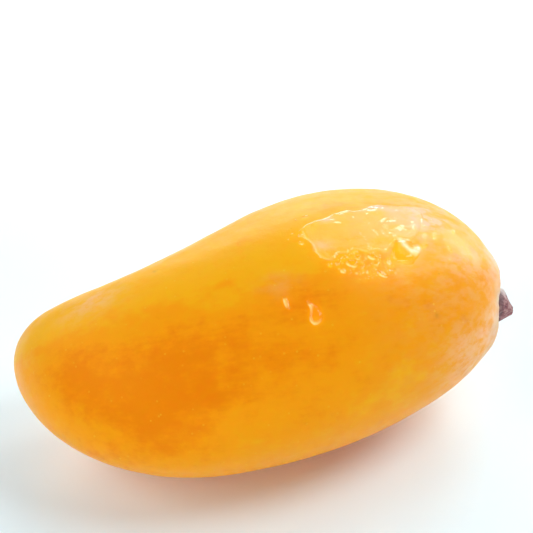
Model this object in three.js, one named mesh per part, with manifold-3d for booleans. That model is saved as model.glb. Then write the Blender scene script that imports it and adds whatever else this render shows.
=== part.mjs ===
// A ripe mango, lying on one cheek as it comes to rest on a table.
//
// Two pieces: the fruit, grown as one solid, and the dry woody stub of its stalk, seated in the
// stem end. Millimetres, +Z up. +X runs from the beak end to the stem end, -Y is the full, rounded
// back of the fruit and +Y its belly, with the shallow hollow beside the beak. The origin is on the
// resting plane, under the middle of the whole object.

import * as THREE from "three";
import { mergeVertices } from "three/addons/utils/BufferGeometryUtils.js";
import Module from "manifold-3d";

// The fruit's driving dimensions.
const LENGTH = 130; // beak end to stem end, along the fruit's own axis
const BACK_FULLNESS = [82, 102, 83, 69, 70, 74]; // weights of the back's outline, beak to stem
const BELLY_FULLNESS = [58, 18, 24, 104, 67, 107]; // the same for the belly: low beside the beak
const THICKNESS_RATIO = 0.86; // cheek to cheek, over back to belly
const RIDGE_STRAIGHTNESS = 0.5; // how far the cheeks' crests keep to the straight axis
const NECK_HEIGHT = 1.0; // the skin rises this far beside the stalk, on its upper side
const NECK_RADIUS = 5;
const NECK_STATION = 0.9992; // the top of that rise, along the fruit from the beak's 0 to 1

// How the fruit lies.
const ROLL_DEG = 5; // the belly rides a little higher than the back
const STEM_RISE_DEG = 4.5; // and the stem end a little higher than the beak
const FLAT_DEPTH = 0.5; // what its own weight presses flat under the lower cheek

// The stub of the stalk. It stands a little off the fruit's end, low on the side of the back.
const STALK_STATION = 0.996;
const STALK_ANGLE_DEG = 229; // round the fruit, from the belly over the top
const STUB_RADIUS = 4.2; // at its foot
const STUB_SUNK = 1.5; // how deep its foot sits in the fruit
const STUB_HEIGHT = 3.6; // how far it stands out of the skin
const STUB_TIP_RADIUS = 1.2;
const STUB_LEAN = new THREE.Vector2(-1.0, -1.0); // how far the broken tip stands off its middle
const SEAT_GAP = 0.3; // clear all round between the stub's foot and its seat

// How finely the surfaces are divided.
const RINGS = 44;
const SEGMENTS = 60;
const STUB_RINGS = 7;
const STUB_SEGMENTS = 24;

const wasm = await Module();
wasm.setup();

// ---------------------------------------------------------------------------------------------
// The surfaces

const radians = THREE.MathUtils.degToRad;

function choose(n, k) {
  return k === 0 ? 1 : (choose(n, k - 1) * (n - k + 1)) / k;
}

// Half of an outline, with t from 0 at the beak to 1 at the stem: the root rounds off both ends
// and a Bernstein polynomial of the weights fills out what lies between.
function halfBreadth(weights, t) {
  const n = weights.length - 1;
  const fullness = weights.reduce(
    (sum, w, k) => sum + w * choose(n, k) * t ** k * (1 - t) ** (n - k),
    0,
  );
  return Math.sqrt(t * (1 - t)) * fullness;
}

// A point of the plain body, in the fruit's own frame: its axis is X, with the beak end at 0.
function bodyPoint(t, angle) {
  const back = halfBreadth(BACK_FULLNESS, t);
  const belly = halfBreadth(BELLY_FULLNESS, t);
  const breadth = (back + belly) / 2;
  const offset = (belly - back) / 2;
  const skew = breadth > 0 ? (-RIDGE_STRAIGHTNESS * offset) / breadth : 0;
  const y = offset + breadth * Math.cos(angle);
  const z =
    THICKNESS_RATIO * breadth * Math.sin(angle) * (1 + skew * Math.cos(angle));
  return new THREE.Vector3(LENGTH * t, y, z);
}

// Where the stalk stands, and the way it points: square to the body there.
const stalkAngle = radians(STALK_ANGLE_DEG);
const stalkFoot = bodyPoint(STALK_STATION, stalkAngle);
const alongSkin = bodyPoint(STALK_STATION - 1e-4, stalkAngle).sub(stalkFoot);
const roundSkin = bodyPoint(STALK_STATION, stalkAngle + 1e-2).sub(stalkFoot);
const stalkAxis = alongSkin.cross(roundSkin).normalize();

// A point of the skin: the body, drawn up into a low neck beside the stalk.
const neckTop = bodyPoint(NECK_STATION, stalkAngle);
function skinPoint(t, angle) {
  const point = bodyPoint(t, angle);
  const away = point.distanceTo(neckTop) / NECK_RADIUS;
  return point.addScaledVector(stalkAxis, NECK_HEIGHT * Math.exp(-away * away));
}

// A closed surface through rings of points, from a first point to a last one.
function closedLoft(first, rings, last) {
  const count = rings[0].length;
  const points = [first, ...rings.flat(), last];
  const at = (ring, k) => 1 + ring * count + (k % count);
  const faces = [];
  for (let k = 0; k < count; k++) {
    faces.push(0, at(0, k + 1), at(0, k));
    faces.push(points.length - 1, at(rings.length - 1, k), at(rings.length - 1, k + 1));
  }
  for (let ring = 0; ring < rings.length - 1; ring++) {
    for (let k = 0; k < count; k++) {
      faces.push(at(ring, k), at(ring, k + 1), at(ring + 1, k));
      faces.push(at(ring, k + 1), at(ring + 1, k + 1), at(ring + 1, k));
    }
  }
  const geometry = new THREE.BufferGeometry().setFromPoints(points);
  geometry.setIndex(faces);
  return geometry;
}

function fruitSkin() {
  const rings = [];
  for (let r = 1; r < RINGS; r++) {
    const t = (1 - Math.cos((Math.PI * r) / RINGS)) / 2;
    const ring = [];
    for (let k = 0; k < SEGMENTS; k++) {
      ring.push(skinPoint(t, (2 * Math.PI * k) / SEGMENTS));
    }
    rings.push(ring);
  }
  return closedLoft(skinPoint(0, 0), rings, skinPoint(1, 0));
}

// How ragged the stub is round its edge: three broad flutes and five small ones.
function raggedness(angle) {
  return 1 + 0.08 * Math.cos(3 * angle + 0.6) + 0.05 * Math.cos(5 * angle - 1.1);
}

// The stub on its site, with `extra` more radius and depth: its seat in the fruit is cut with that.
function stubSurface(extra) {
  const foot = -STUB_SUNK - extra;
  const rings = [];
  for (let r = 0; r < STUB_RINGS; r++) {
    const f = r / (STUB_RINGS - 1);
    const taper = f ** 1.4;
    const radius = THREE.MathUtils.lerp(STUB_RADIUS, STUB_TIP_RADIUS, taper) + extra;
    const ring = [];
    for (let k = 0; k < STUB_SEGMENTS; k++) {
      const angle = (2 * Math.PI * k) / STUB_SEGMENTS;
      const reach = radius * raggedness(angle);
      ring.push(
        new THREE.Vector3(
          THREE.MathUtils.lerp(foot, STUB_HEIGHT, f),
          STUB_LEAN.x * taper + reach * Math.cos(angle),
          STUB_LEAN.y * taper + reach * Math.sin(angle),
        ),
      );
    }
    rings.push(ring);
  }
  const heel = new THREE.Vector3(foot, 0, 0);
  const point = new THREE.Vector3(STUB_HEIGHT + 0.3, STUB_LEAN.x, STUB_LEAN.y);
  const stand = new THREE.Quaternion().setFromUnitVectors(new THREE.Vector3(1, 0, 0), stalkAxis);
  return closedLoft(heel, rings, point)
    .applyQuaternion(stand)
    .translate(...stalkFoot);
}

// ---------------------------------------------------------------------------------------------
// Solids, and how the fruit lies

function solidOf(geometry) {
  const bare = geometry.clone();
  bare.deleteAttribute("normal");
  bare.deleteAttribute("uv");
  const merged = mergeVertices(bare, 1e-4);
  return new wasm.Manifold(
    new wasm.Mesh({
      numProp: 3,
      vertProperties: new Float32Array(merged.attributes.position.array),
      triVerts: new Uint32Array(merged.index.array),
    }),
  );
}

function geometryOf(solid) {
  const { vertProperties, triVerts } = solid.getMesh();
  const geometry = new THREE.BufferGeometry();
  geometry.setAttribute("position", new THREE.BufferAttribute(vertProperties, 3));
  geometry.setIndex(new THREE.BufferAttribute(triVerts, 1));
  geometry.computeVertexNormals();
  return geometry;
}

// Turns a surface as the fruit lies: rolled about its axis, then with the stem end raised.
function laidDown(geometry) {
  return geometry.rotateX(radians(ROLL_DEG)).rotateY(radians(-STEM_RISE_DEG));
}

// A slab that takes away everything below a height.
function everythingBelow(height) {
  const side = 4 * LENGTH;
  return solidOf(new THREE.BoxGeometry(side, side, side).translate(0, 0, height - side / 2));
}

const skin = laidDown(fruitSkin());
const stub = laidDown(stubSurface(0));
const seat = laidDown(stubSurface(SEAT_GAP));

skin.computeBoundingBox();
const restHeight = skin.boundingBox.min.z + FLAT_DEPTH;
const fruit = geometryOf(solidOf(skin).subtract(solidOf(seat)).subtract(everythingBelow(restHeight)));

// ---------------------------------------------------------------------------------------------
// The object

const skinMaterial = new THREE.MeshStandardMaterial({
  color: new THREE.Color(0.93, 0.6, 0.08),
  roughness: 0.38,
  metalness: 0,
});
const stalkMaterial = new THREE.MeshStandardMaterial({
  color: new THREE.Color(0.36, 0.22, 0.2),
  roughness: 0.85,
  metalness: 0,
});

function piece(name, geometry, material) {
  const mesh = new THREE.Mesh(geometry, material);
  mesh.name = name;
  return mesh;
}

const mango = new THREE.Group();
mango.add(piece("fruit", fruit, skinMaterial), piece("stem_stub", stub, stalkMaterial));

const middle = new THREE.Box3().setFromObject(mango, true).getCenter(new THREE.Vector3());
mango.position.set(-middle.x, -middle.y, -restHeight);

export default mango;
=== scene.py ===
import bpy
import numpy as np
from mathutils import Matrix, Vector, noise
from mathutils.bvhtree import BVHTree
from mathutils.kdtree import KDTree


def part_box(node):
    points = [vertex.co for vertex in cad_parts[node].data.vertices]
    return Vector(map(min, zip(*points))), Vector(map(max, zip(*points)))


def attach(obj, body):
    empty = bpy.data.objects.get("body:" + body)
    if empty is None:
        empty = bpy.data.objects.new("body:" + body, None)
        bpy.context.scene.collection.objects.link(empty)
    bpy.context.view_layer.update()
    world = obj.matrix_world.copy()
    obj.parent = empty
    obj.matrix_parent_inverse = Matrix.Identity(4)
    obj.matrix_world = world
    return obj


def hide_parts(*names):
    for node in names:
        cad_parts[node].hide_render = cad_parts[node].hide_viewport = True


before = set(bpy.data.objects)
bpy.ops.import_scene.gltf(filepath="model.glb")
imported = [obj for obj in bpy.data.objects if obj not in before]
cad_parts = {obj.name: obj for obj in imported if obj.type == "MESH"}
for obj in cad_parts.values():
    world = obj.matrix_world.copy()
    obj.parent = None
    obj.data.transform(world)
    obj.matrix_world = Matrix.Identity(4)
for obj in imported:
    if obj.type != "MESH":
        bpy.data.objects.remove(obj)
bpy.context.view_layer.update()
scene = bpy.context.scene
MM = 0.001

# -----------------------------------------------------------------------------------------------
# The camera, a little above the fruit on the side of its back, turned slightly to the beak end.

CAMERA_HEADING = np.radians(-9.5)  # from straight in front of the back, towards +X
CAMERA_HEIGHT_ANGLE = np.radians(40)
CAMERA_DISTANCE = 374 * MM
CAMERA_AIM = Vector((-0.3 * MM, 0, 52.3 * MM))
LENS = 100  # its focal length, and the width of the sensor behind it, in mm
SENSOR_WIDTH = 36
NEAREST_SEEN = 10 * MM

camera_data = bpy.data.cameras.new("camera")
camera_data.lens = LENS
camera_data.sensor_width = SENSOR_WIDTH
camera_data.clip_start = NEAREST_SEEN
camera = bpy.data.objects.new("camera", camera_data)
to_camera = Vector(
    (
        np.sin(CAMERA_HEADING) * np.cos(CAMERA_HEIGHT_ANGLE),
        -np.cos(CAMERA_HEADING) * np.cos(CAMERA_HEIGHT_ANGLE),
        np.sin(CAMERA_HEIGHT_ANGLE),
    )
)
camera.location = CAMERA_AIM + to_camera * CAMERA_DISTANCE
camera.rotation_euler = to_camera.to_track_quat("Z", "Y").to_euler()
scene.collection.objects.link(camera)
scene.camera = camera

# -----------------------------------------------------------------------------------------------
# The studio: a white table in a dim room, with twelve rounded soft boxes round it and above it.
# The brightest stand to the right and behind, and a long low one in front lights the near flank.

scene.view_settings.view_transform = "Standard"
scene.cycles.max_bounces = 16
scene.cycles.diffuse_bounces = 12

ROOM_LIGHT_LOW = 0.03  # near the table
ROOM_LIGHT_HIGH = 0.05  # overhead
ROOM_LOW_UP_TO = 0.2  # the sine of the angle above the table where the low light ends
ROOM_HIGH_FROM = 0.85  # and where the high light begins
ROOM_TINT = (0.88, 0.95, 1.05, 1)
LAMP_WHITE = (0.90, 0.965, 1.0)
world = bpy.data.worlds.new("room")
world.use_nodes = True
scene.world = world
room = world.node_tree.nodes
lit = world.node_tree.links
room["Background"].inputs["Color"].default_value = ROOM_TINT
way = room.new("ShaderNodeTexCoord")
parts = room.new("ShaderNodeSeparateXYZ")
aloft = room.new("ShaderNodeMapRange")
lit.new(way.outputs["Generated"], parts.inputs["Vector"])
lit.new(parts.outputs["Z"], aloft.inputs["Value"])
lit.new(aloft.outputs["Result"], room["Background"].inputs["Strength"])
for label, value in (
    ("From Min", ROOM_LOW_UP_TO),
    ("From Max", ROOM_HIGH_FROM),
    ("To Min", ROOM_LIGHT_LOW),
    ("To Max", ROOM_LIGHT_HIGH),
):
    aloft.inputs[label].default_value = value


LIT_PLACE = Vector((0, 0, 30 * MM))  # every soft box faces the middle of the fruit
SOFT_BOXES = (
    # name, heading from straight behind towards +X, height in degrees,
    # distance, width and height in metres, brightness
    ("key_heart", 42, 38, 0.6, 0.08, 0.09, 6.5),
    ("key", 48, 42, 0.6, 0.20, 0.20, 2.0),
    ("key_halo", 33, 40, 0.6, 0.50, 0.70, 0.78),
    ("low_right", 62, 18, 0.6, 0.30, 0.20, 10.0),
    ("high_right", 100, 55, 0.6, 0.30, 0.30, 7.1),
    ("back", 4, 17, 0.6, 0.40, 0.26, 5.4),
    ("left_back", -55, 34, 0.6, 0.40, 0.40, 2.0),
    ("left", -100, 40, 0.6, 0.40, 0.30, 3.95),
    ("left_front", -130, 30, 0.6, 0.30, 0.30, 2.5),
    ("right_front", 138, 16, 0.6, 0.30, 0.24, 1.8),
    ("low_left", -70, 12, 0.6, 0.40, 0.20, 0.7),
    ("low_front", -176, 6, 0.8, 1.00, 0.16, 6.3),
)
for name, heading_deg, height_deg, distance, width, height, brightness in SOFT_BOXES:
    heading, lift = np.radians(heading_deg), np.radians(height_deg)
    away = Vector(
        (np.sin(heading) * np.cos(lift), np.cos(heading) * np.cos(lift), np.sin(lift))
    )
    lamp = bpy.data.lights.new(name, "AREA")
    lamp.shape = "ELLIPSE"
    lamp.size = width
    lamp.size_y = height
    lamp.color = LAMP_WHITE
    lamp.energy = brightness * np.pi * (np.pi / 4 * width * height)
    box = bpy.data.objects.new(name, lamp)
    box.location = LIT_PLACE + away * distance
    box.rotation_euler = away.to_track_quat("Z", "Y").to_euler()
    scene.collection.objects.link(box)

TABLE_REACH = 3
TABLE_WHITE = (0.87, 0.975, 1.0, 1)
TABLE_ROUGHNESS = 0.25
table_mesh = bpy.data.meshes.new("table")
table_corners = ((-1, -1), (1, -1), (1, 1), (-1, 1))
table_mesh.from_pydata(
    [(x * TABLE_REACH, y * TABLE_REACH, 0) for x, y in table_corners], [], [(0, 1, 2, 3)]
)
table = bpy.data.objects.new("table", table_mesh)
scene.collection.objects.link(table)
table_top = bpy.data.materials.new("white table top")
table_top.use_nodes = True
top_shader = table_top.node_tree.nodes["Principled BSDF"]
top_shader.inputs["Base Color"].default_value = TABLE_WHITE
top_shader.inputs["Roughness"].default_value = TABLE_ROUGHNESS
table_mesh.materials.append(table_top)

# -----------------------------------------------------------------------------------------------
# The fruit: one grown body. Its skin is a thin, waxy, golden-yellow peel, ripening to orange, with
# a shallow hollow and fine wrinkles round the stalk and a small dry scar where the flower stood.

FRUIT_LENGTH = 130 * MM
BACK_FULLNESS = (82, 102, 83, 69, 70, 74)  # weights of the back's outline, beak to stem, in mm
BELLY_FULLNESS = (58, 18, 24, 104, 67, 107)
THICKNESS_RATIO = 0.86
RIDGE_STRAIGHTNESS = 0.5
STALK_STATION = 0.996
STALK_ANGLE = np.radians(229)
ROLL = np.radians(5)
STEM_RISE = np.radians(4.5)
SKIN_RINGS = 240
SKIN_SEGMENTS = 320


def half_breadth(weights, t):
    """Half of an outline at station t, 0 at the beak and 1 at the stem."""
    order = len(weights) - 1
    choose = 1.0
    fullness = np.zeros_like(t)
    for k, weight in enumerate(weights):
        fullness += weight * MM * choose * t**k * (1 - t) ** (order - k)
        choose = choose * (order - k) / (k + 1)
    return np.sqrt(np.clip(t * (1 - t), 0, None)) * fullness


def body_points(t, angle):
    """Points of the plain body in its own frame, at stations t and angles round the axis."""
    t, angle = np.broadcast_arrays(np.asarray(t, float), np.asarray(angle, float))
    back = half_breadth(BACK_FULLNESS, t)
    belly = half_breadth(BELLY_FULLNESS, t)
    breadth = (back + belly) / 2
    offset = (belly - back) / 2
    skew = -RIDGE_STRAIGHTNESS * offset / np.maximum(breadth, 1e-9)
    y = offset + breadth * np.cos(angle)
    z = THICKNESS_RATIO * breadth * np.sin(angle) * (1 + skew * np.cos(angle))
    return np.stack([FRUIT_LENGTH * t, y, z], axis=-1)


stalk_foot = body_points(STALK_STATION, STALK_ANGLE)
along_skin = body_points(STALK_STATION - 1e-4, STALK_ANGLE) - stalk_foot
round_skin = body_points(STALK_STATION, STALK_ANGLE + 1e-2) - stalk_foot
stalk_axis = np.cross(along_skin, round_skin)
stalk_axis /= np.linalg.norm(stalk_axis)


def turned(points):
    """The fruit's own frame, turned as the fruit lies."""
    roll = np.array(Matrix.Rotation(ROLL, 3, "X"))
    rise = np.array(Matrix.Rotation(-STEM_RISE, 3, "Y"))
    return points @ (rise @ roll).T


ring_stations = (1 - np.cos(np.pi * np.arange(1, SKIN_RINGS) / SKIN_RINGS)) / 2
ring_angles = 2 * np.pi * np.arange(SKIN_SEGMENTS) / SKIN_SEGMENTS
plain = np.concatenate(
    [
        body_points(0.0, 0.0)[None],
        body_points(ring_stations[:, None], ring_angles[None]).reshape(-1, 3),
        body_points(1.0, 0.0)[None],
    ]
)
fruit_low, fruit_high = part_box("fruit")
laid = turned(plain)
PLACE = np.array(
    [
        fruit_low.x - laid[:, 0].min(),
        fruit_low.y - laid[:, 1].min(),
        fruit_high.z - laid[:, 2].max(),
    ]
)


def lying(points):
    """The fruit's own frame, to where the fruit lies on the table."""
    return turned(points) + PLACE


def loft_faces(rings, segments):
    """Faces of a closed surface: first point, rings of points, last point."""
    faces = []
    last = 1 + rings * segments
    for k in range(segments):
        n = (k + 1) % segments
        faces.append((0, 1 + n, 1 + k))
        faces.append((last, last - segments + k, last - segments + n))
    for r in range(rings - 1):
        low = 1 + r * segments
        for k in range(segments):
            n = (k + 1) % segments
            faces.append((low + k, low + n, low + segments + n, low + segments + k))
    return faces


def make_piece(name, points, faces):
    mesh = bpy.data.meshes.new(name)
    mesh.from_pydata([tuple(p) for p in points], [], faces)
    mesh.shade_smooth()
    piece = bpy.data.objects.new(name, mesh)
    scene.collection.objects.link(piece)
    return piece


def normals_of(mesh):
    flat = np.zeros(len(mesh.vertices) * 3)
    mesh.vertices.foreach_get("normal", flat)
    return flat.reshape(-1, 3)


def mottle(points, size, seed=0):
    """Smooth noise from -1 to 1, with lumps of about this size."""
    shift = Vector((17.3 * seed, 5.1 * seed, 9.7 * seed))
    return np.array([noise.noise(Vector(p) / size + shift) for p in points])


def ramp(low, high, value):
    """0 below low, 1 above high, smooth between."""
    u = np.clip((value - low) / (high - low), 0, 1)
    return u * u * (3 - 2 * u)


def hump(away, size):
    return np.exp(-((away / size) ** 2))


skin_points = lying(plain)
fruit_skin = make_piece("fruit_skin", skin_points, loft_faces(SKIN_RINGS - 1, SKIN_SEGMENTS))
outward = normals_of(fruit_skin.data)

# Where each point of the skin is: along the fruit, round it, and from the stalk's foot.
station = np.concatenate([[0.0], np.repeat(ring_stations, SKIN_SEGMENTS), [1.0]])
degrees = np.degrees(np.concatenate([[0.0], np.tile(ring_angles, SKIN_RINGS - 1), [0.0]]))
stalk_site = lying(stalk_foot[None])[0]
stalk_up = lying((stalk_foot + stalk_axis)[None])[0] - stalk_site
stalk_across = np.cross(stalk_up, (0, 0, 1))
stalk_across /= np.linalg.norm(stalk_across)
stalk_over = np.cross(stalk_across, stalk_up)
from_stalk = skin_points - stalk_site
stalk_away = np.linalg.norm(from_stalk, axis=1)
stalk_bearing = np.arctan2(from_stalk @ stalk_over, from_stalk @ stalk_across)

# The relief of the skin: slow swells and shallow dimples all over, wrinkles that run in to the
# stalk, a shoulder and a hollow round it with the trough its stub stands in, a few pits, and the
# flower's scar at the beak.
SWELL_DEPTH = 0.28 * MM
DIMPLE_DEPTH = 0.085 * MM
FINE_DIMPLE_DEPTH = 0.04 * MM
WRINKLE_DEPTH = 0.085 * MM
SHOULDER_RISE = 0.75 * MM
SHOULDER_NOTCH = 1.15 * MM  # how much lower the shoulder is on one side, where the stub shows
SHOULDER_RADIUS = 11 * MM
NOTCH_BEARING = np.radians(42)
NOTCH_SPREAD = np.radians(32)
HOLLOW_DEPTH = 2.8 * MM
HOLLOW_RADIUS = 6.3 * MM
TROUGH_DEPTH = 0.5 * MM
TROUGH_RADIUS = 4.6 * MM
swell = SWELL_DEPTH * mottle(skin_points, 24 * MM, 1)
dimples = DIMPLE_DEPTH * mottle(skin_points, 7 * MM, 2)
dimples += FINE_DIMPLE_DEPTH * mottle(skin_points, 3.2 * MM, 3)
wander = 1.3 * mottle(skin_points, 9 * MM, 4)
wrinkles = np.cos(11 * stalk_bearing + wander) + 0.5 * np.cos(23 * stalk_bearing - 2 * wander)
wrinkles *= WRINKLE_DEPTH * ramp(3.5 * MM, 5.5 * MM, stalk_away)
wrinkles *= 1 - ramp(6 * MM, 15 * MM, stalk_away)
shoulder = SHOULDER_RISE - SHOULDER_NOTCH * hump(stalk_bearing - NOTCH_BEARING, NOTCH_SPREAD)
shoulder = shoulder * hump(stalk_away - SHOULDER_RADIUS, 4 * MM)
hollow = -HOLLOW_DEPTH * hump(stalk_away, HOLLOW_RADIUS)
trough = -TROUGH_DEPTH * hump(stalk_away - TROUGH_RADIUS, 0.8 * MM)
relief = swell * ramp(2 * MM, 14 * MM, stalk_away) + dimples + wrinkles + shoulder + hollow + trough


def skin_mark(at_station, at_degrees, length, breadth):
    """How near each point is to a mark, which is longer along the fruit than across it."""
    middle = lying(body_points(at_station, np.radians(at_degrees))[None])[0]
    away = skin_points - middle
    along = away[:, 0] / length
    across = np.linalg.norm(away[:, 1:], axis=1) / breadth
    return np.exp(-(along**2) - across**2)


def marks_together(marks):
    """The sum of marks, given as rows of station, degrees round, length mm, breadth mm, amount."""
    total = np.zeros(len(skin_points))
    for at_station, at_degrees, length, breadth, amount in marks:
        total += amount * skin_mark(at_station, at_degrees, length * MM, breadth * MM)
    return total


PITS = (
    # station, degrees round, radius mm, depth mm
    (0.825, 142, 0.7, 0.10),
    (0.31, 62, 0.6, 0.10),
    (0.71, 205, 0.7, 0.10),
    (0.52, 328, 0.6, 0.10),
)
pitted = np.zeros(len(skin_points))
for pit_station, pit_degrees, radius, depth in PITS:
    nearness = skin_mark(pit_station, pit_degrees, radius * MM, radius * MM)
    relief -= depth * MM * nearness
    pitted = np.maximum(pitted, nearness)
BEAK_SCAR = (0.004, 20)  # station, degrees round
SCAR_RADIUS = 1.1 * MM
SCAR_RISE = 0.35 * MM
SCAR_DISH_RADIUS = 2.4 * MM  # the dish it stands in
SCAR_DISH_DEPTH = 0.2 * MM
scar = skin_mark(*BEAK_SCAR, SCAR_RADIUS, SCAR_RADIUS)
scar_dish = skin_mark(*BEAK_SCAR, SCAR_DISH_RADIUS, SCAR_DISH_RADIUS)
relief += SCAR_RISE * scar - SCAR_DISH_DEPTH * scar_dish

skin_points = skin_points + outward * relief[:, None]
skin_points[:, 2] = np.maximum(skin_points[:, 2], 0)
fruit_skin.data.vertices.foreach_set("co", skin_points.ravel())
fruit_skin.data.update()

# How the colour lies. One side is golden; the rest is flushed with orange, deepest in a band
# along the upper flank. A thin pale bloom is left about the stem end, mixed with painted sheen
# and a painted highlight, and a grey collar round the stalk. Under the film of water the peel is
# painted paler, as a painted reflection of the lamps on the film.
golden_edge = 88 + 29 * ramp(0.25, 0.85, station) + 9 * mottle(skin_points, 16 * MM, 5)
back_side = ramp(golden_edge - 10, golden_edge + 16, degrees)
belly_edge = 18 + 12 * mottle(skin_points, 18 * MM, 6)
belly_side = 1 - ramp(belly_edge - 22, belly_edge + 12, degrees)
flush = 0.5 * np.maximum(back_side, belly_side)
DEEP_PATCHES = (
    # station, degrees round, length mm, breadth mm, how much deeper the orange is
    (0.12, 118, 9, 8, 0.40),
    (0.24, 126, 14, 10, 0.36),
    (0.35, 124, 14, 11, 0.27),
    (0.454, 103, 8, 4, -0.25),
    (0.45, 122, 10, 7, 0.08),
    (0.15, 147, 10, 8, 0.12),
    (0.52, 135, 18, 12, 0.06),
    (0.58, 150, 14, 11, 0.08),
    (0.74, 174, 22, 8, -0.20),
    (0.71, 73, 18, 3, 0.28),
    (0.55, 114, 9, 6, 0.22),
    (0.28, 150, 12, 12, 0.30),
    (0.435, 93, 3.4, 1.7, 0.55),
    (0.933, 104, 1.6, 1.3, 0.40),
    (0.70, 230, 26, 14, 0.35),
    (0.35, 320, 22, 12, 0.40),
    (0.66, 345, 16, 12, 0.30),
)
flush += marks_together(DEEP_PATCHES)
flush -= 0.10 * (1 - ramp(0.03, 0.12, station))
flush += 0.13 * mottle(skin_points, 9 * MM, 7) + 0.07 * mottle(skin_points, 3.5 * MM, 8)

PALE_PATCHES = (
    # station, degrees round, length mm, breadth mm, how much more bloom and painted sheen
    (0.535, 105, 4.5, 3, 0.11),
    # a painted highlight on the crest by the stem end; the next row takes the paling back
    (0.855, 83, 4.5, 4.5, 0.80),
    (0.91, 99, 5, 4, -0.40),
    (0.18, 66, 10, 5, 0.35),
)
PALE_SHOULDER = ((0.872, 87, 4, 3.5, 0.35),)
# Pale bloom about the stem end, round the stalk and at the beak, with painted sheen and highlight in
# it.
bloom_and_sheen = 0.36 * ramp(0.64, 0.93, station) * (1 - 0.8 * ramp(95, 150, degrees))
# painted sheen: the lower rim at the stem end paled, as if it mirrored the white table
bloom_and_sheen += 0.46 * ramp(0.78, 0.95, station) * ramp(142, 175, degrees)
bloom_and_sheen += 0.45 * hump(stalk_away, 15 * MM)
bloom_and_sheen += 0.06 * (1 - ramp(0.0, 0.09, station))
bloom_and_sheen += marks_together(PALE_PATCHES)
bloom_and_sheen *= 1 + 0.45 * mottle(skin_points, 8 * MM, 9)
bloom_and_sheen += marks_together(PALE_SHOULDER)

FILM_REFLECTION_PATCHES = (
    # station, degrees round, length mm, breadth mm, how much painted reflection
    (0.74, 88, 9, 6.5, 0.16),
    (0.815, 84, 4.5, 6.5, 0.58),
    (0.75, 78, 5.5, 1.6, 0.80),
    (0.655, 82, 1.5, 1.2, 0.90),
    (0.63, 95, 3.0, 1.5, 0.50),
)
painted_film_reflection = marks_together(FILM_REFLECTION_PATCHES)
damp = ramp(0.52, 0.75, station) * ramp(78, 92, degrees) * (1 - ramp(105, 125, degrees))
COLLAR_INNER = 5 * MM
COLLAR_OUTER = 21 * MM
collar_edge = stalk_away + 3 * MM * mottle(skin_points, 5 * MM, 18)


def add_layers(piece, layers):
    """Values that change over a piece, kept at its points for its material to read."""
    for name, values in layers.items():
        layer = piece.data.attributes.new(name, "FLOAT", "POINT")
        layer.data.foreach_set("value", values)


add_layers(
    fruit_skin,
    {
        "damp": damp,
        "painted_film_reflection": np.clip(painted_film_reflection, 0, 1),
        "flush": np.clip(flush, 0, 1),
        "bloom_and_sheen": np.clip(bloom_and_sheen, 0, 1),
        "pitted": np.clip(pitted + scar, 0, 1),
        "collar": 1 - ramp(COLLAR_INNER, COLLAR_OUTER, collar_edge),
    },
)


class Shading:
    """Adds nodes to a material and links them as they are made."""

    def __init__(self, tree):
        self.tree = tree

    def node(self, kind, inputs=(), **settings):
        made = self.tree.nodes.new(kind)
        for key, value in settings.items():
            setattr(made, key, value)
        for key, value in dict(inputs).items():
            self.set(made.inputs[key], value)
        return made

    def set(self, socket, value):
        if isinstance(value, bpy.types.NodeSocket):
            self.tree.links.new(value, socket)
        else:
            socket.default_value = value

    def layer(self, name):
        return self.node("ShaderNodeAttribute", attribute_name=name).outputs["Fac"]

    def math(self, operation, a, b=0.0, c=0.0):
        made = self.node("ShaderNodeMath", operation=operation)
        for socket, value in zip(made.inputs, (a, b, c)):
            self.set(socket, value)
        return made.outputs[0]

    def blend(self, amount, low, high, kind="MIX"):
        made = self.node("ShaderNodeMix", data_type="RGBA", blend_type=kind)
        self.set(made.inputs["Factor"], amount)
        self.set(made.inputs["A"], low)
        self.set(made.inputs["B"], high)
        return made.outputs["Result"]

    def spread(self, value, low, high, out_low=0.0, out_high=1.0):
        made = self.node("ShaderNodeMapRange", interpolation_type="SMOOTHSTEP")
        for key, number in (
            ("Value", value),
            ("From Min", low),
            ("From Max", high),
            ("To Min", out_low),
            ("To Max", out_high),
        ):
            self.set(made.inputs[key], number)
        return made.outputs["Result"]

    def grain(self, where, size, detail=2.0, roughness=0.5, stretch=(1, 1, 1), turn=(0, 0, 0)):
        """The grain group in this material, with lumps of about this size in metres."""
        values = {"Where": where, "Size": size, "Detail": detail, "Roughness": roughness}
        values.update({"Stretch": stretch, "Turn": turn})
        return self.node("ShaderNodeGroup", values, node_tree=grain_group).outputs["Grain"]


# Grain, which the peel and the dry stalk share: noise in the piece's own coordinates.
grain_group = bpy.data.node_groups.new("grain", "ShaderNodeTree")
for label, kind, value in (
    ("Where", "NodeSocketVector", (0, 0, 0)),
    ("Size", "NodeSocketFloat", 1 * MM),
    ("Detail", "NodeSocketFloat", 2.0),
    ("Roughness", "NodeSocketFloat", 0.5),
    ("Stretch", "NodeSocketVector", (1, 1, 1)),
    ("Turn", "NodeSocketVector", (0, 0, 0)),
):
    socket = grain_group.interface.new_socket(label, in_out="INPUT", socket_type=kind)
    socket.default_value = value
grain_group.interface.new_socket("Grain", in_out="OUTPUT", socket_type="NodeSocketFloat")
n = Shading(grain_group)
asked = n.node("NodeGroupInput").outputs
mapping = n.node(
    "ShaderNodeMapping",
    {"Vector": asked["Where"], "Rotation": asked["Turn"], "Scale": asked["Stretch"]},
)
lumps = n.node(
    "ShaderNodeTexNoise",
    {
        "Vector": mapping.outputs["Vector"],
        "Scale": n.math("DIVIDE", 1.0, asked["Size"]),
        "Detail": asked["Detail"],
        "Roughness": asked["Roughness"],
    },
)
n.node("NodeGroupOutput", {"Grain": lumps.outputs["Fac"]})

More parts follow.
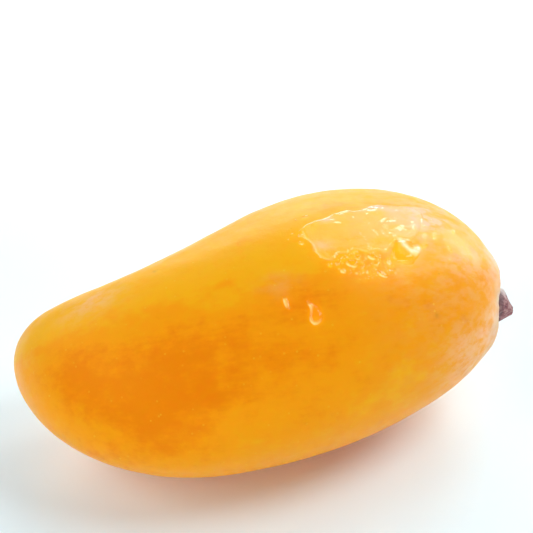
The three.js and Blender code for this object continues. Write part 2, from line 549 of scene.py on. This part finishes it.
peel = bpy.data.materials.new("mango peel")
peel.use_nodes = True
peel_shader = peel.node_tree.nodes["Principled BSDF"]
p = Shading(peel.node_tree)
where = p.node("ShaderNodeTexCoord").outputs["Object"]
GOLDEN = (0.97, 0.435, 0.008, 1)
ORANGE = (0.97, 0.345, 0.005, 1)
DEEP_ORANGE = (0.87, 0.245, 0.003, 1)
BLOOM_AND_SHEEN = (0.98, 0.55, 0.31, 1)
FILM_REFLECTION = (0.97, 0.47, 0.35, 1)  # painted reflection of the lamps on the film of water, laid on the skin under it
SCAR_BROWN = (0.42, 0.17, 0.03, 1)
PORE_YELLOW = (0.99, 0.62, 0.06, 1)
FOCUSED_LIGHT = (1.0, 0.72, 0.26, 1)  # painted light on the skin where the rim of the water would gather it
PAINTED_GLEAM = (1.0, 0.82, 0.60, 1)  # painted highlight: the lamps mirrored on the large drop, laid on the skin under it
COLLAR = (0.62, 0.43, 0.31, 1)

cloud = p.grain(where, 5 * MM, 4, 0.6)
streaks = p.grain(where, 1.1 * MM, 3, 0.6, stretch=(0.22, 1, 1), turn=(0, 0, np.radians(-18)))
ripe = p.math("MULTIPLY_ADD", p.math("SUBTRACT", cloud, 0.5), 0.8, p.layer("flush"))
ripe = p.math("MULTIPLY_ADD", p.math("SUBTRACT", streaks, 0.5), 0.40, ripe)
wet = p.spread(p.layer("water_depth"), -0.15, 0.15)
clear_wet = p.math("MULTIPLY", wet, p.math("SUBTRACT", 1.0, p.layer("film_alone")))
ripe = p.math("MULTIPLY_ADD", clear_wet, 0.3, ripe)
colour = p.blend(p.spread(ripe, 0.0, 0.5), GOLDEN, ORANGE)
colour = p.blend(p.spread(ripe, 0.5, 1.0), colour, DEEP_ORANGE)

PORE_SPACING = 2.6 * MM
pores = p.node(
    "ShaderNodeTexVoronoi", {"Vector": where, "Scale": 1 / PORE_SPACING, "Randomness": 1.0}
)
pore_size = p.node("ShaderNodeSeparateColor", {"Color": pores.outputs["Color"]}).outputs["Red"]
pore = p.math("MULTIPLY", p.spread(pores.outputs["Distance"], 0.05, 0.15, 1.0, 0.0), pore_size)
colour = p.blend(p.math("MULTIPLY", pore, 0.45), colour, PORE_YELLOW)

wax = p.grain(where, 2.6 * MM, 5, 0.62, stretch=(0.5, 1, 1), turn=(0, 0, np.radians(-12)))
# Bloom and painted sheen, broken up by the wax grain and kept off the skin under water.
haze = p.math("MULTIPLY", p.layer("bloom_and_sheen"), p.spread(wax, 0.36, 0.64, 0.2, 1.6))
haze = p.math("MULTIPLY", haze, p.math("MULTIPLY_ADD", clear_wet, -0.9, 1.0))
colour = p.blend(haze, colour, BLOOM_AND_SHEEN)
# Painted reflection: where the film lies alone, the skin under it is paled, as if the film mirrored
# the lamps.
film_reflection_amount = p.math("ADD", p.layer("painted_film_reflection"), 0.14)
film_reflection_amount = p.math("MULTIPLY", film_reflection_amount, p.layer("film_alone"))
film_reflection_amount = p.math("MULTIPLY", film_reflection_amount, p.spread(wax, 0.3, 0.7, 0.6, 1.0))
colour = p.blend(film_reflection_amount, colour, FILM_REFLECTION)
colour = p.blend(p.math("MULTIPLY", p.layer("collar"), 0.85), colour, COLLAR)
colour = p.blend(p.math("MULTIPLY", p.layer("pitted"), 0.30), colour, SCAR_BROWN)

# Painted light: what the water would gather on the skin, painted into its colour along the lower
# rims and as glints under the fine drops, and a painted highlight for the large drop.
focused = p.math("MULTIPLY", p.layer("painted_rim_light"), p.spread(p.layer("water_depth"), 0.0, 0.25))
focused = p.math("MULTIPLY", focused, p.spread(p.layer("water_depth"), 0.4, 0.9, 1.0, 0.0))
colour = p.blend(p.math("MULTIPLY", focused, 0.8), colour, FOCUSED_LIGHT)
colour = p.blend(p.layer("painted_gleam"), colour, PAINTED_GLEAM)
# Painted glints under the fine drops: bright spots of painted light, with a deeper orange between
# them.
DOT_SPACING = 1.5 * MM
dots = p.node(
    "ShaderNodeTexVoronoi", {"Vector": where, "Scale": 1 / DOT_SPACING, "Randomness": 0.9}
)
dot = p.spread(dots.outputs["Distance"], 0.16, 0.34, 1.0, 0.0)
dot_size = p.node("ShaderNodeSeparateColor", {"Color": dots.outputs["Color"]}).outputs["Green"]
dot = p.math("MULTIPLY", p.math("MULTIPLY", dot, dot_size), p.layer("dewy"))
between = p.math("MULTIPLY", p.spread(dots.outputs["Distance"], 0.3, 0.5), p.layer("dewy"))
colour = p.blend(p.math("MULTIPLY", between, 0.45), colour, ORANGE)
colour = p.blend(p.math("MULTIPLY", dot, 0.9), colour, FOCUSED_LIGHT)
p.set(peel_shader.inputs["Base Color"], colour)

SMOOTHEST = 0.34
ROUGHEST = 0.46
BLOOM_ROUGHENS = 0.12
roughness = p.spread(p.grain(where, 3 * MM, 3), 0.25, 0.75, SMOOTHEST, ROUGHEST)
roughness = p.math("MULTIPLY_ADD", p.layer("bloom_and_sheen"), BLOOM_ROUGHENS, roughness)
p.set(peel_shader.inputs["Roughness"], roughness)

LUMP_HEIGHT = 0.09 * MM
GRAIN_HEIGHT = 0.025 * MM
PORE_DEPTH = 0.018 * MM
skin_height = p.math("MULTIPLY", p.grain(where, 1.9 * MM, 3, 0.55), LUMP_HEIGHT)
fine_grain = p.grain(where, 0.55 * MM, 2, 0.5)
skin_height = p.math("MULTIPLY_ADD", fine_grain, GRAIN_HEIGHT, skin_height)
skin_height = p.math("MULTIPLY_ADD", pore, -PORE_DEPTH, skin_height)
bump = p.node("ShaderNodeBump", {"Height": skin_height, "Distance": 1.0, "Strength": 0.8})
p.set(peel_shader.inputs["Normal"], bump.outputs["Normal"])

PEEL_IOR = 1.3
SHEEN_TINT = (1.0, 0.62, 0.06, 1)
DAMP_SHEEN = 0.3
DAMP_ROUGHNESS = 0.3
FLESH_GLOW = 0.7  # how much light comes back out of the flesh
FLESH_REACH = (1.0, 0.35, 0.05)  # how far it travels there: red the furthest
FLESH_DEPTH = 7 * MM
peel_shader.inputs["IOR"].default_value = PEEL_IOR
peel_shader.inputs["Specular Tint"].default_value = SHEEN_TINT
not_under_water = p.math("MULTIPLY_ADD", wet, -DAMP_SHEEN, DAMP_SHEEN)
damp_coat = p.math("MULTIPLY", p.layer("damp"), not_under_water)
p.set(peel_shader.inputs["Coat Weight"], damp_coat)
peel_shader.inputs["Coat Roughness"].default_value = DAMP_ROUGHNESS
peel_shader.inputs["Subsurface Weight"].default_value = FLESH_GLOW
peel_shader.inputs["Subsurface Radius"].default_value = FLESH_REACH
peel_shader.inputs["Subsurface Scale"].default_value = FLESH_DEPTH
fruit_skin.data.materials.append(peel)

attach(fruit_skin, "root")
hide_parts("fruit")

# -----------------------------------------------------------------------------------------------
# The stub of the stalk: dry wood, purple-brown, fluted and torn off short. It grows out of the
# trough at the stem end, and its foot goes 4.5 mm down into the fruit.

STUB_RADIUS = 4.2 * MM
STUB_TIP_RADIUS = 1.2 * MM
STUB_FLARE = 0.5 * MM
STUB_SEAT = 1.5 * MM  # how deep its taper begins
STUB_SUNK = 4.5 * MM
STUB_HEIGHT = 3.3 * MM  # to the edge of its torn top
STUB_CROWN = 0.4 * MM  # its middle stands this much higher
STUB_LEAN = (-1.0 * MM, -1.0 * MM)
SPUR_BEARING = np.radians(50)  # a sliver left standing on its upper side, near the foot
SPUR_REACH = 1.45 * MM
SPUR_LEVEL = 0.85 * MM
STUB_SIDE_RINGS = 38
STUB_TOP_STEPS = (0.12, 0.28, 0.45, 0.62, 0.78, 0.9)  # of the way from its edge to its middle
STUB_SEGMENTS = 140


def stub_points():
    """Rings from the sunk foot up to the torn top, then in over it to its middle."""
    turn = 2 * np.pi * np.arange(STUB_SEGMENTS) / STUB_SEGMENTS
    flutes = 1 + 0.08 * np.cos(3 * turn + 0.6) + 0.05 * np.cos(5 * turn - 1.1)
    rim = np.stack([np.zeros_like(turn), np.cos(turn), np.sin(turn)], axis=-1)
    torn = mottle(rim, 0.55, 11)
    fibres = mottle(rim, 0.13, 12)
    rings = []
    for f in np.linspace(0, 1, STUB_SIDE_RINGS):
        height = -STUB_SUNK + (STUB_HEIGHT + STUB_SUNK) * f
        taper = np.clip((height + STUB_SEAT) / (STUB_HEIGHT + STUB_SEAT), 0, 1) ** 1.4
        radius = STUB_RADIUS + (STUB_TIP_RADIUS - STUB_RADIUS) * taper
        radius += STUB_FLARE * (1 - taper) ** 3
        knots = mottle(rim + (2.3 * f, 0, 0), 0.42, 13)
        reach = radius * (flutes + 0.04 * fibres + 0.08 * f * knots)
        spur = hump(turn - SPUR_BEARING, np.radians(24)) * hump(height - SPUR_LEVEL, 1.2 * MM)
        reach = reach + SPUR_REACH * spur * (1 + 0.2 * fibres)
        height = height + 0.30 * MM * f**2 * torn + 0.10 * MM * f * fibres
        side = rim * reach[:, None]
        side[:, 0] = height
        side[:, 1:] += np.array(STUB_LEAN) * taper
        rings.append(side)
    edge = rings[-1]
    middle = np.array([STUB_HEIGHT + STUB_CROWN, *STUB_LEAN])
    for f in STUB_TOP_STEPS:
        inner = edge + (middle - edge) * f
        inner[:, 0] += 0.15 * MM * np.sin(np.pi * f) * (1 + fibres)
        rings.append(inner)
    foot = np.array([[-STUB_SUNK, 0, 0]])
    return np.concatenate([foot, *rings, middle[None]])


stand = np.array(Vector((1, 0, 0)).rotation_difference(Vector(stalk_axis)).to_matrix())
stub_own = stub_points()
stub_faces = loft_faces(STUB_SIDE_RINGS + len(STUB_TOP_STEPS), STUB_SEGMENTS)
stub = make_piece("stalk_stub", lying(stub_own @ stand.T + stalk_foot), stub_faces)
stub_out = np.hypot(stub_own[:, 1], stub_own[:, 2])
stub_bearing = np.arctan2(stub_own[:, 2], stub_own[:, 1])
sliver = hump(stub_bearing - SPUR_BEARING, np.radians(38)) * ramp(2.1 * MM, 3.4 * MM, stub_out)
add_layers(
    stub,
    {
        "risen": np.clip(stub_own[:, 0] / STUB_HEIGHT, 0, 1),
        "spur": sliver,
        # painted shade at the foot of the stub, where it stands in the trough
        "foot": 1 - ramp(-0.1 * MM, 0.35 * MM, stub_own[:, 0]),
    },
)

stalk_wood = bpy.data.materials.new("dry stalk")
stalk_wood.use_nodes = True
wood_shader = stalk_wood.node_tree.nodes["Principled BSDF"]
w = Shading(stalk_wood.node_tree)
where = w.node("ShaderNodeTexCoord").outputs["Object"]
WOOD_DARK = (0.055, 0.022, 0.035, 1)
WOOD_PURPLE = (0.27, 0.09, 0.095, 1)
WOOD_PINK = (0.48, 0.275, 0.255, 1)
WOOD_GREY = (0.75, 0.68, 0.64, 1)
WOOD_SHADE = (0.075, 0.055, 0.06, 1)
knots = w.grain(where, 1.5 * MM, 4, 0.65)
fibre = w.grain(where, 0.6 * MM, 3, 0.6, stretch=(0.25, 1, 1))
tone = w.math("MULTIPLY_ADD", w.math("SUBTRACT", fibre, 0.5), 0.6, knots)
tone = w.math("MULTIPLY_ADD", w.layer("risen"), 0.10, w.math("ADD", tone, 0.08))
colour = w.blend(w.spread(tone, 0.32, 0.56), WOOD_DARK, WOOD_PURPLE)
colour = w.blend(w.spread(tone, 0.56, 0.74, 0.0, 0.85), colour, WOOD_PINK)
# Painted shade: the wood darkened towards its foot, in the trough.
colour = w.blend(w.math("MULTIPLY", w.layer("foot"), 0.4), colour, WOOD_SHADE)
colour = w.blend(w.math("MULTIPLY", w.layer("spur"), 0.85), colour, WOOD_GREY)
w.set(wood_shader.inputs["Base Color"], colour)
w.set(wood_shader.inputs["Roughness"], w.spread(knots, 0.3, 0.7, 0.6, 0.85))
KNOT_HEIGHT = 0.2 * MM
FIBRE_HEIGHT = 0.12 * MM
wood_height = w.math("MULTIPLY", knots, KNOT_HEIGHT)
wood_height = w.math("MULTIPLY_ADD", fibre, FIBRE_HEIGHT, wood_height)
bump = w.node("ShaderNodeBump", {"Height": wood_height, "Distance": 1.0})
w.set(wood_shader.inputs["Normal"], bump.outputs["Normal"])
stub.data.materials.append(stalk_wood)

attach(stub, "root")
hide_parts("stem_stub")

# -----------------------------------------------------------------------------------------------
# Water on the upper side: a thin film on the crest by the stem end, a large drop that hangs from
# its edge, one that has run down the flank, and beads. Each body of it lies on the waxy peel, is
# held by its rim, and reaches a hair below the skin, so that no air shows between them.

skin_surface = BVHTree.FromPolygons(
    [tuple(v) for v in skin_points], [tuple(f.vertices) for f in fruit_skin.data.polygons]
)
skin_normals = normals_of(fruit_skin.data)
skin_lookup = KDTree(len(skin_points))
for k, point in enumerate(skin_points):
    skin_lookup.insert(point, k)
skin_lookup.balance()
OVERHEAD = 0.2  # well above the fruit


def skin_under(x, y):
    """The skin's upper side below a place seen from above, and the way it faces there."""
    hit = skin_surface.ray_cast(Vector((x, y, OVERHEAD)), Vector((0, 0, -1)))[0]
    near = skin_lookup.find_n(hit, 6)
    facing = sum((skin_normals[k] / (1e-5 + away) for _, k, away in near), np.zeros(3))
    return np.array(hit), facing / np.linalg.norm(facing)


def closed_curve(corners, count):
    """A smooth closed line through corners."""
    corners = np.array(corners, float)
    n = len(corners)
    at = np.arange(count) * n / count
    k = at.astype(int)
    u = (at - k)[:, None]
    a, b, c, d = (corners[(k + step) % n] for step in (-1, 0, 1, 2))
    return b + u / 2 * (c - a + u * (2 * a - 5 * b + 4 * c - d + u * (3 * (b - c) + d - a)))


def inside_rim(rim, x, y):
    """How far inside an outline places lie, seen from above, and the way in from its edge."""
    inside = np.zeros(len(x), bool)
    nearest = np.full(len(x), 1.0)
    inward = np.zeros((len(x), 2))
    for (ax, ay), (bx, by) in zip(rim, np.roll(rim, -1, axis=0)):
        dx, dy = bx - ax, by - ay
        crossed = (ay > y) != (by > y)
        inside ^= crossed & (x < ax + dx * (y - ay) / (dy if dy else 1e-12))
        u = np.clip(((x - ax) * dx + (y - ay) * dy) / (dx * dx + dy * dy), 0, 1)
        away = np.hypot(x - ax - u * dx, y - ay - u * dy)
        closer = away < nearest
        nearest[closer] = away[closer]
        inward[closer] = (-dy / np.hypot(dx, dy), dx / np.hypot(dx, dy))
    return np.where(inside, nearest, -nearest), inward


def soft_depth(rim, spots):
    """Depth inside an outline, rounded off in the middle, so that nothing built on it has a ridge."""
    step = np.linalg.norm(np.roll(rim, -1, axis=0) - rim, axis=1)
    depth = np.zeros(len(spots))
    for k, spot in enumerate(spots):
        away = np.hypot(*(rim - spot).T) + 1e-7
        depth[k] = np.sqrt(2 / np.sum(step / away**3))
    return depth


water = bpy.data.materials.new("water")
water.use_nodes = True
clear = water.node_tree.nodes["Principled BSDF"]
WATER_IOR = 1.36
WATER_ROUGHNESS = 0.08
clear.inputs["Transmission Weight"].default_value = 1.0
clear.inputs["IOR"].default_value = WATER_IOR
clear.inputs["Roughness"].default_value = WATER_ROUGHNESS
q = Shading(water.node_tree)
lamp_path = q.node("ShaderNodeLightPath").outputs["Is Shadow Ray"]
through = q.node("ShaderNodeBsdfTransparent")
lets_lamps_by = q.node("ShaderNodeMixShader")
q.set(lets_lamps_by.inputs[0], lamp_path)
q.set(lets_lamps_by.inputs[1], clear.outputs["BSDF"])
q.set(lets_lamps_by.inputs[2], through.outputs["BSDF"])
q.set(water.node_tree.nodes["Material Output"].inputs["Surface"], lets_lamps_by.outputs["Shader"])

WATER_SUNK = 0.12 * MM  # its under side, below the skin
LIGHT_HEADING = np.radians(35)  # from straight behind, towards +X
LIGHT_FROM = np.array([np.sin(LIGHT_HEADING), np.cos(LIGHT_HEADING)])
RIM_WANDERS = 0.22  # how unsteady a rim is, as a share of its bank
THINNEST = 0.25  # what is left of the height where a film has thinned away
water_depth = np.full(len(skin_points), -1.0)  # inside the nearest outline of any water
painted_rim_light = np.zeros(len(skin_points))  # how much light is painted on the skin there, as the water would gather it


def water_body(
    rim_mm,
    height_mm,
    bank_mm,
    rings,
    segments,
    sag=0.0,
    ripple_mm=0.0,
    thin_from=1.0,
    gathers=1.0,
):
    """Points and faces of water on the skin. rim_mm is its outline seen from above, bank_mm how
    far in from there it rises, and sag, from 0 to 1, moves its bulk downhill. From thin_from, in
    metres towards the stem end, it thins away. gathers is how much light is painted on the skin
    along its lower rim, as the rim would gather it."""
    fine_rim = closed_curve(rim_mm, 20 * segments) * MM
    rough = [mottle(np.pad(fine_rim, ((0, 0), (0, 1))), 1.8 * MM, seed) for seed in (16, 17)]
    fine_rim = fine_rim + RIM_WANDERS * bank_mm * MM * np.stack(rough, axis=-1)
    depth, inward = inside_rim(fine_rim[::10], skin_points[:, 0], skin_points[:, 1])
    depth = np.where(skin_normals[:, 2] > 0, depth, -1.0)
    deeper = depth > water_depth
    water_depth[deeper] = depth[deeper]
    painted_rim_light[deeper] = gathers * np.clip(inward[deeper] @ LIGHT_FROM, 0, 1)
    rim = fine_rim[::20]
    middle = rim.mean(axis=0)
    steps = np.sin(np.pi / 2 * np.arange(1, rings + 1) / rings)
    spots = np.array([middle] + [middle + (corner - middle) * s for s in steps for corner in rim])
    on_skin = [skin_under(*spot) for spot in spots]
    base = np.array([hit for hit, _ in on_skin])
    facing = np.array([way for _, way in on_skin])
    risen = np.clip(soft_depth(fine_rim, spots) / (bank_mm * MM), 0, 1)
    risen[-segments:] = 0
    lift = height_mm * MM * risen * (2 - risen)
    downhill = facing[0] * facing[0, 2] - (0, 0, 1)
    below = (base - base[0]) @ downhill
    lift *= 1 + sag * below / np.abs(below).max()
    ripple = mottle(base, 2.6 * MM, 14) + 0.5 * mottle(base, 1.1 * MM, 15)
    lift += ripple_mm * MM * risen * ripple
    lift *= 1 - (1 - THINNEST) * ramp(thin_from, thin_from + 9 * MM, base[:, 0])
    top = base + facing * lift[:, None]
    under = base - facing * WATER_SUNK
    count = len(spots)
    faces = []
    for side, shift in ((0, 0), (1, count)):
        for k in range(segments):
            n = (k + 1) % segments
            fan = (shift, shift + 1 + k, shift + 1 + n)
            faces.append(fan if side == 0 else fan[::-1])
            for r in range(rings - 1):
                low = shift + 1 + r * segments
                quad = (low + k, low + segments + k, low + segments + n, low + n)
                faces.append(quad if side == 0 else quad[::-1])
    outer = 1 + (rings - 1) * segments
    for k in range(segments):
        n = (k + 1) % segments
        faces.append((outer + k, count + outer + k, count + outer + n, outer + n))
    return np.concatenate([top, under]), faces


def water_piece(name, bodies):
    """One piece of one or more bodies of water."""
    points, faces = [], []
    for body, sides in bodies:
        faces += [tuple(len(points) + k for k in side) for side in sides]
        points += list(body)
    piece = make_piece(name, points, faces)
    piece.data.materials.append(water)
    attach(piece, "root")


# The outlines below are in mm, x and y, seen from above.
FILM = (
    (8.8, 2.2), (9.2, -0.6), (10.6, -3.0), (11.2, -6.0), (12.9, -8.2), (14.8, -8.5),
    (17.0, -7.1), (18.9, -7.0), (21.2, -6.1), (23.6, -7.0), (26.4, -6.4), (28.6, -6.9),
    (30.3, -5.4), (32.2, -3.9), (34.4, -3.4), (36.6, -2.8), (38.6, -0.6), (40.4, 3.3),
    (41.6, 7.6), (40.2, 10.4), (37.0, 10.6), (33.6, 10.4), (30.0, 10.6), (27.2, 9.2),
    (24.4, 7.9), (21.6, 8.5), (18.8, 7.7), (15.6, 5.9), (12.4, 5.2), (10.0, 4.0),
)  # fmt: skip
film_body = water_body(
    FILM,
    height_mm=0.36,
    bank_mm=0.9,
    rings=40,
    segments=240,
    ripple_mm=0.17,
    thin_from=31 * MM,
    gathers=0.3,
)
water_piece("water_film", [film_body])
film_depth = water_depth.copy()

LARGE_DROP = (
    (30.9, -5.4), (30.0, -7.2), (30.2, -9.0), (31.6, -10.0), (33.4, -10.2), (35.2, -9.5),
    (36.9, -7.9), (38.0, -5.8), (37.3, -4.2), (35.4, -3.2), (33.2, -3.0), (31.6, -3.8),
)  # fmt: skip
large_drop_body = water_body(
    LARGE_DROP, height_mm=1.25, bank_mm=1.7, rings=24, segments=96, sag=0.7, gathers=0.0
)
water_piece("water_drop_large", [large_drop_body])

RUN_DROP = (
    (6.9, -17.4), (6.4, -18.1), (6.8, -18.8), (7.1, -19.6), (6.9, -20.4), (6.6, -21.2),
    (6.7, -22.2), (7.4, -22.9), (8.4, -23.0), (9.4, -22.5), (9.9, -21.7), (9.9, -20.6),
    (9.5, -19.6), (8.6, -18.8), (7.6, -18.1),
)  # fmt: skip
run_drop_body = water_body(
    RUN_DROP, height_mm=0.75, bank_mm=0.8, rings=20, segments=90, sag=0.5
)
water_piece("water_drop_run", [run_drop_body])


def bead_rim(x, y, length, breadth, turn_deg):
    """The oval outline of a bead."""
    turn = np.radians(turn_deg)
    rim = []
    for a in np.radians(np.arange(0, 360, 45)):
        u, v = length / 2 * np.cos(a), breadth / 2 * np.sin(a)
        along = u * np.cos(turn) - v * np.sin(turn)
        across = u * np.sin(turn) + v * np.cos(turn)
        rim.append((x + along, y + across))
    return rim


BEADS = (
    # x, y, length, breadth, turned by, height, all in mm and degrees
    (10.9, 7.7, 2.2, 1.1, 10, 0.40),
    (8.3, 0.6, 1.6, 1.2, 0, 0.45),
    (8.1, -2.2, 1.7, 1.1, -20, 0.40),
    (1.7, -17.6, 3.3, 1.4, -75, 0.50),
    (19.4, -10.0, 3.3, 2.1, -20, 0.80),
    (24.8, -8.3, 2.6, 1.8, -20, 0.70),
    (21.2, -8.4, 1.9, 1.5, 0, 0.55),
    (26.6, -12.8, 3.2, 1.6, -25, 0.60),
    (16.8, -11.7, 1.9, 1.5, 0, 0.55),
    (21.9, -10.9, 1.6, 1.2, 30, 0.45),
    (25.6, -10.4, 1.9, 1.4, 50, 0.50),
    (28.9, -9.9, 2.0, 1.4, -40, 0.55),
    (15.9, -9.6, 1.7, 1.3, 20, 0.50),
    (39.4, -4.2, 2.4, 1.2, 35, 0.50),
    (40.6, 0.0, 1.3, 1.0, 0, 0.35),
    (42.0, -0.9, 1.3, 0.9, 30, 0.35),
)
bead_bodies = []
for x, y, length, breadth, turn_deg, height in BEADS:
    rim = bead_rim(x, y, length, breadth, turn_deg)
    bead_bodies.append(water_body(rim, height, 0.3 * breadth, rings=12, segments=40))
water_piece("water_beads", bead_bodies)

# What the peel has to know of the water on it: how deep inside an outline each point lies, where
# light is painted as the water would gather it, where the painted highlight of the large drop lies,
# and where the film lies alone, under its painted reflection.
# A painted highlight on the skin under the large drop, along a bent line, where the drop would mirror
# the lamps.
GLEAM_LINE = ((33.4, -3.1), (34.0, -5.1), (35.3, -6.9), (36.6, -6.2), (37.6, -5.1))
GLEAM_BREADTH = 0.55 * MM
GLEAM_STRENGTH = 0.8
painted_gleam = np.zeros(len(skin_points))
for ends in zip(GLEAM_LINE, GLEAM_LINE[1:]):
    start, end = np.array(ends) * MM
    run = end - start
    share = np.clip((skin_points[:, :2] - start) @ run / (run @ run), 0, 1)
    away = np.linalg.norm(skin_points[:, :2] - start - share[:, None] * run, axis=1)
    painted_gleam = np.maximum(painted_gleam, GLEAM_STRENGTH * hump(away, GLEAM_BREADTH))
painted_gleam *= skin_normals[:, 2] > 0
film_edge = ramp(-0.15 * MM, 0.15 * MM, film_depth)
add_layers(
    fruit_skin,
    {
        "water_depth": np.clip(water_depth / MM, -3, 3),
        "painted_rim_light": painted_rim_light,
        "film_alone": film_edge * (water_depth <= film_depth),
        "painted_gleam": painted_gleam,
    },
)

# -----------------------------------------------------------------------------------------------
# Fine drops, left where the film has drawn back: hundreds of small flat beads of water, packed
# below the film's lower edge and sparser round the rest of it. They sit half sunk.

dew = bpy.data.node_groups.new("fine drops", "GeometryNodeTree")
dew.interface.new_socket("Geometry", in_out="INPUT", socket_type="NodeSocketGeometry")
dew.interface.new_socket("Geometry", in_out="OUTPUT", socket_type="NodeSocketGeometry")
DEW_INPUTS = (
    ("Spacing", "NodeSocketFloat", 0.75 * MM),
    ("Per square metre", "NodeSocketFloat", 2.2e6),
    ("Smallest", "NodeSocketFloat", 0.16 * MM),
    ("Largest", "NodeSocketFloat", 0.85 * MM),
    ("Flatness", "NodeSocketFloat", 0.6),
    ("Seed", "NodeSocketInt", 7),
    ("Material", "NodeSocketMaterial", water),
)
for label, kind, _ in DEW_INPUTS:
    dew.interface.new_socket(label, in_out="INPUT", socket_type=kind)
g = Shading(dew)
given = g.node("NodeGroupInput").outputs
wet = g.node("GeometryNodeInputNamedAttribute", {"Name": "dew"}, data_type="FLOAT")
scatter = g.node(
    "GeometryNodeDistributePointsOnFaces",
    {
        "Mesh": given["Geometry"],
        "Distance Min": given["Spacing"],
        "Density Max": given["Per square metre"],
        "Density Factor": wet.outputs["Attribute"],
        "Seed": given["Seed"],
    },
    distribute_method="POISSON",
)
BEAD_SEGMENTS = 9
BEAD_RINGS = 6
ball = g.node(
    "GeometryNodeMeshUVSphere", {"Segments": BEAD_SEGMENTS, "Rings": BEAD_RINGS, "Radius": 1.0}
)
squash = g.node("ShaderNodeCombineXYZ", {"X": 1.0, "Y": 1.0, "Z": given["Flatness"]})
dome = g.node(
    "GeometryNodeTransform", {"Geometry": ball.outputs["Mesh"], "Scale": squash.outputs["Vector"]}
)
chance = g.node("FunctionNodeRandomValue", {"Seed": given["Seed"]}, data_type="FLOAT")
rarely_large = g.math("POWER", chance.outputs[1], 2.2)
span = g.math("SUBTRACT", given["Largest"], given["Smallest"])
size = g.math("MULTIPLY_ADD", rarely_large, span, given["Smallest"])
placed = g.node(
    "GeometryNodeInstanceOnPoints",
    {
        "Points": scatter.outputs["Points"],
        "Instance": dome.outputs["Geometry"],
        "Rotation": scatter.outputs["Rotation"],
        "Scale": size,
    },
)
whole = g.node("GeometryNodeRealizeInstances", {"Geometry": placed.outputs["Instances"]})
rounded = g.node("GeometryNodeSetShadeSmooth", {"Geometry": whole.outputs["Geometry"]})
finished = g.node(
    "GeometryNodeSetMaterial",
    {"Geometry": rounded.outputs["Geometry"], "Material": given["Material"]},
)
g.node("NodeGroupOutput", {"Geometry": finished.outputs["Geometry"]})

ground = bpy.data.objects.new("dew_ground", fruit_skin.data.copy())
scene.collection.objects.link(ground)


def patch_from_above(x, y, half_length, half_breadth, turn_deg=0):
    """1 in the middle of an oval on the upper side, seen from above, 0 outside it."""
    turn = np.radians(turn_deg)
    dx, dy = skin_points[:, 0] - x * MM, skin_points[:, 1] - y * MM
    along = (dx * np.cos(turn) + dy * np.sin(turn)) / (half_length * MM)
    across = (dy * np.cos(turn) - dx * np.sin(turn)) / (half_breadth * MM)
    return (1 - ramp(0.7, 1.1, np.hypot(along, across))) * (skin_normals[:, 2] > 0.2)


CLUSTER = (22.5, -9.6, 9.5, 4.0, -8)
SPARSE_PATCHES = (
    # x, y, half length, half breadth in mm, how densely strewn
    (41.8, 0.2, 3.6, 2.8, 0.90),
    (38.0, 0.0, 14.0, 12.0, 0.06),
    (12.0, 2.0, 9.0, 7.0, 0.10),
)
cluster = patch_from_above(*CLUSTER)
strewn = cluster
for x, y, half_length, half_breadth, amount in SPARSE_PATCHES:
    patch = patch_from_above(x, y, half_length, half_breadth)
    strewn = np.maximum(strewn, amount * patch)
clear_of_water = 1 - ramp(-0.5 * MM, -0.2 * MM, water_depth)
add_layers(ground, {"dew": strewn * clear_of_water})
# where the peel gets painted glints among the fine drops
add_layers(fruit_skin, {"dewy": cluster * clear_of_water})
fitting = ground.modifiers.new("dew", "NODES")
fitting.node_group = dew
identifiers = {
    item.name: item.identifier for item in dew.interface.items_tree if item.in_out == "INPUT"
}
for label, _, value in DEW_INPUTS:
    fitting[identifiers[label]] = value
bpy.context.view_layer.update()
grown = ground.evaluated_get(bpy.context.evaluated_depsgraph_get())
fine_drops = bpy.data.objects.new("water_fine_drops", bpy.data.meshes.new_from_object(grown))
scene.collection.objects.link(fine_drops)
bpy.data.objects.remove(ground)

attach(fine_drops, "root")
